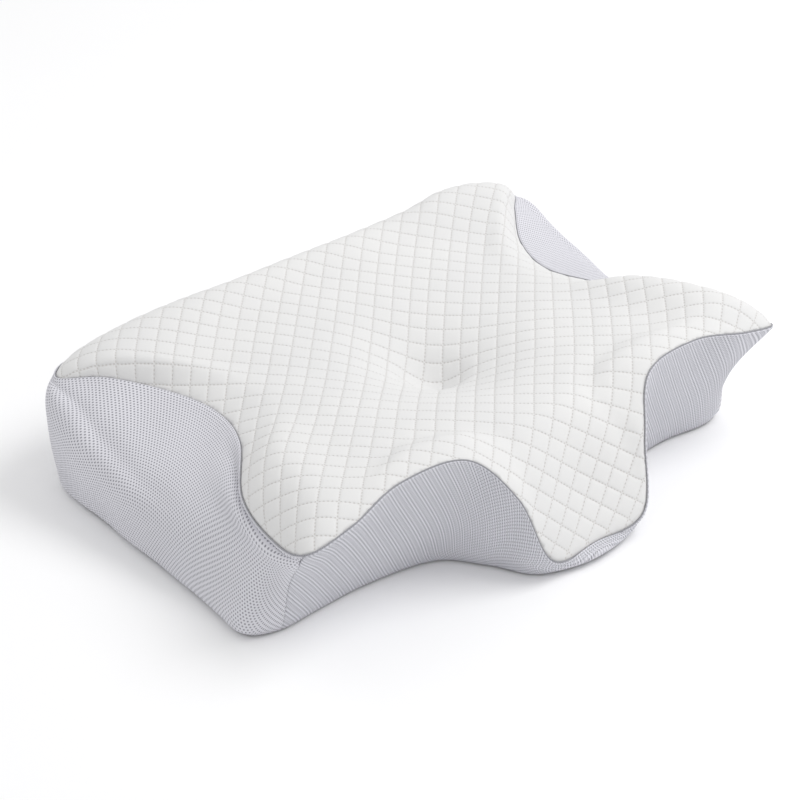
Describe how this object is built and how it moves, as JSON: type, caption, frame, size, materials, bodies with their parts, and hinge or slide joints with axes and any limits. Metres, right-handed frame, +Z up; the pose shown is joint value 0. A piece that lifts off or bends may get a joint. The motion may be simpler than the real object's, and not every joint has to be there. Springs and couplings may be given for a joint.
{
  "type": "contour neck pillow",
  "caption": "Butterfly-shaped contour foam pillow with a quilted top, mesh side walls, a head cradle, arm hollows and a zipped cover.",
  "frame": {"origin": "on the surface that the pillow rests on, on its left-right centre plane, below the head cradle", "axes": "+Z up out of the head cradle, +Y from the neck edge towards the edge behind the head, +X towards the right-hand arm hollow of a person lying on it"},
  "size_m": [0.5606, 0.4239, 0.1272],
  "materials": {
    "quilted_knit": "soft matt knit, diamond quilted",
    "air_mesh": "matt spacer mesh with small staggered holes",
    "piping_yarn": "matt twisted yarn",
    "liner_knit": "thin plain knit",
    "foam": "slow-recovery open-cell foam",
    "zip_tape": "woven tape",
    "zip_coil": "moulded nylon coil",
    "zip_metal": "satin lacquered die-casting",
    "label_satin": "woven satin ribbon"
  },
  "bodies": {
    "pillow": {"foam_core": "foam", "liner_upper": "liner_knit", "liner_base": "liner_knit", "top_panel": "quilted_knit", "side_panel_left": "air_mesh", "side_panel_right": "air_mesh", "front_panel": "air_mesh", "back_panel_upper": "air_mesh", "back_panel_lower": "air_mesh", "base_panel": "air_mesh", "top_piping": "piping_yarn", "base_piping": "piping_yarn", "corner_seam_left": "piping_yarn", "corner_seam_right": "piping_yarn", "zip_tape_upper": "zip_tape", "zip_tape_lower": "zip_tape", "zip_coil_upper": "zip_coil", "zip_coil_lower": "zip_coil", "zip_stops": "zip_metal", "care_label": "label_satin"},
    "slider": {"zip_slider": "zip_metal"},
    "pull_tab": {"zip_pull": "zip_metal"}
  },
  "joints": [
    {"name": "zip_slide", "type": "slide", "parent": "pillow", "child": "slider", "axis": [1, 0, 0], "range_m": [0, 0.26]},
    {"name": "pull_swing", "type": "hinge", "parent": "slider", "child": "pull_tab", "pos_m": [-0.13, 0.2254, 0.048], "axis": [0, 0, 1], "range_deg": [0, 180]}
  ]
}
